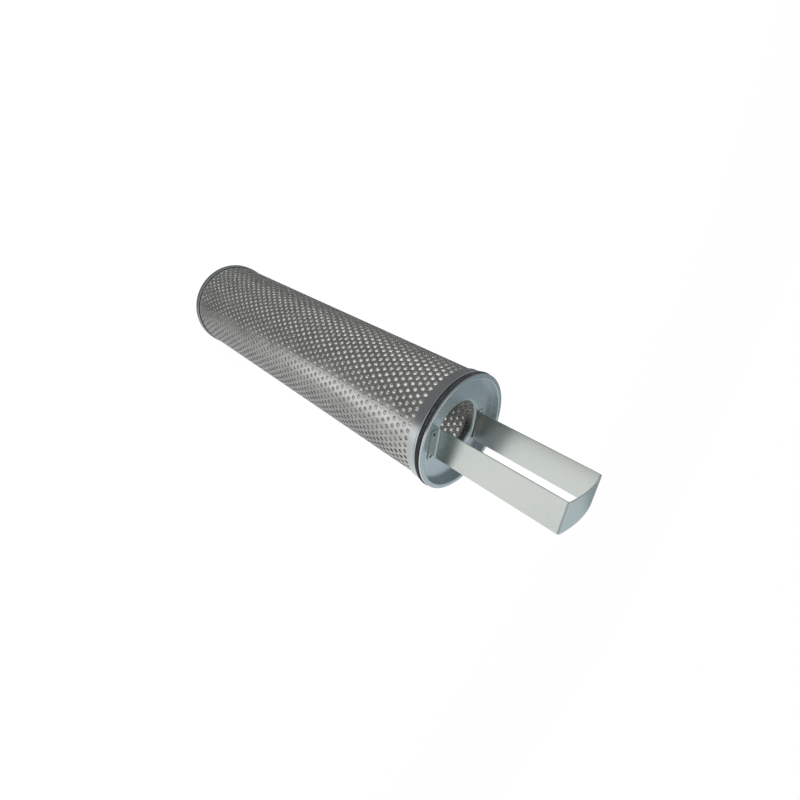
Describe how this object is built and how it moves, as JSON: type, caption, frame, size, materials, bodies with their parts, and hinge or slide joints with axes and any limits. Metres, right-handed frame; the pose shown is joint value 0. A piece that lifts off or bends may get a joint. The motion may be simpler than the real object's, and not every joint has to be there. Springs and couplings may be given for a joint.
{
  "type": "hydraulic filter element",
  "caption": "Long in-tank hydraulic filter element: perforated steel tube over a pleated pack, pressed end caps, seal ring, collared opening and a bent strip lifting handle.",
  "frame": {"origin": "middle of the bottom cap's underside, on the floor that the element stands on", "axes": "+Z along the tube towards the handle, +X across the gap between the handle's legs, +Y along the strip's width"},
  "size_m": [0.1344, 0.1344, 0.6273],
  "materials": {
    "zinc_plate": "zinc plated, satin, slightly blue",
    "zinc_strip": "zinc plated strip, satin, faintly green",
    "perforated_sheet": "galvanised perforated sheet",
    "seal_rubber": "smooth black",
    "adhesive": "cast, dull",
    "support_mesh": "fine woven support mesh",
    "fleece": "pale fleece",
    "glass_fibre": "glass-fibre paper"
  },
  "bodies": {
    "root": {"backing_fleece": "fleece", "bottom_cap": "zinc_plate", "bottom_potting": "adhesive", "core_tube": "perforated_sheet", "cover_fleece": "fleece", "filter_media": "glass_fibre", "handle": "zinc_strip", "inner_support_mesh": "support_mesh", "outer_support_mesh": "support_mesh", "outer_tube": "perforated_sheet", "seal_ring": "seal_rubber", "top_cap": "zinc_plate", "top_potting": "adhesive"}
  },
  "joints": []
}
